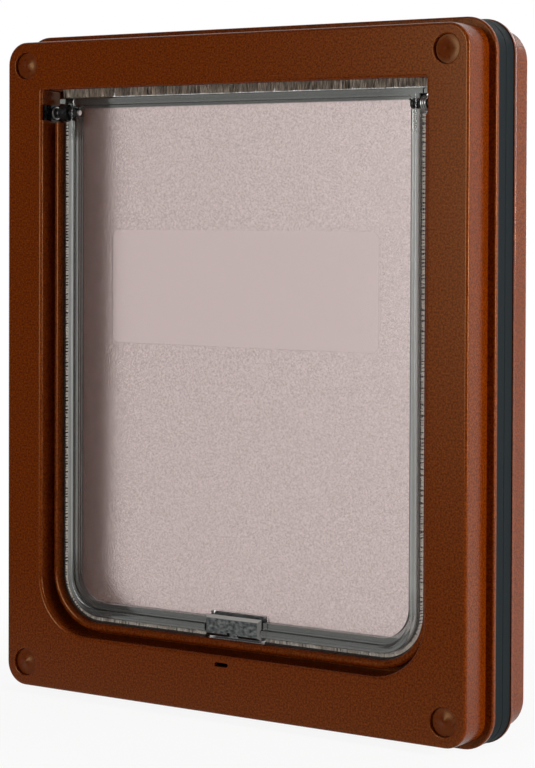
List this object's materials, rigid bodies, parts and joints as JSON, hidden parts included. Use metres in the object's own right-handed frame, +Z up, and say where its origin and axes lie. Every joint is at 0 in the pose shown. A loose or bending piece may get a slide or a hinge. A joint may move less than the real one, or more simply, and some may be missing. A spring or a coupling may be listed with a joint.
{
  "type": "pet flap",
  "caption": "Framed pet flap for a door: brown clamping frames with black seals, a lined doorway with brush strips, and a clear sprung flap with a magnetic catch.",
  "frame": {"origin": "middle of the part, on the plane where the front and rear seals meet", "axes": "+X across the doorway, to the right seen from the front; +Y from the front face to the rear face; +Z up"},
  "size_m": [0.384, 0.075, 0.46],
  "materials": {
    "brown_plastic": "fine moulded grain",
    "seal_rubber": "matt",
    "clear_plastic": "frosted panel, clear rim",
    "zinc_steel": "zinc plated",
    "black_plastic": "satin",
    "steel": "bright",
    "magnet": "dull grey",
    "brush_pile": "short pile"
  },
  "bodies": {
    "frame": {"front_frame": "brown_plastic", "rear_frame": "brown_plastic", "screw_cap_top_left": "brown_plastic", "screw_cap_top_right": "brown_plastic", "screw_cap_bottom_left": "brown_plastic", "screw_cap_bottom_right": "brown_plastic", "front_seal": "seal_rubber", "rear_seal": "seal_rubber", "hinge_bush_left": "black_plastic", "hinge_bush_right": "black_plastic", "hinge_pin_left": "steel", "hinge_pin_right": "steel", "pin_clip_left": "steel", "pin_clip_right": "steel", "closing_spring": "steel", "frame_screw_top_left": "steel", "frame_screw_top_right": "steel", "frame_screw_bottom_left": "steel", "frame_screw_bottom_right": "steel", "keeper_magnet": "magnet", "brush_left": "brush_pile", "brush_right": "brush_pile", "brush_top": "brush_pile"},
    "flap": {"flap": "clear_plastic", "magnet_holder": "zinc_steel", "flap_magnet": "magnet", "pivot_insert_left": "black_plastic", "pivot_insert_right": "black_plastic"}
  },
  "joints": [
    {"name": "flap_swing", "type": "hinge", "parent": "frame", "child": "flap", "pos_m": [0, -0.021, 0.176], "axis": [1, 0, 0], "range_deg": [-85, 85], "stiffness_Nm_per_rad": 0.12}
  ]
}
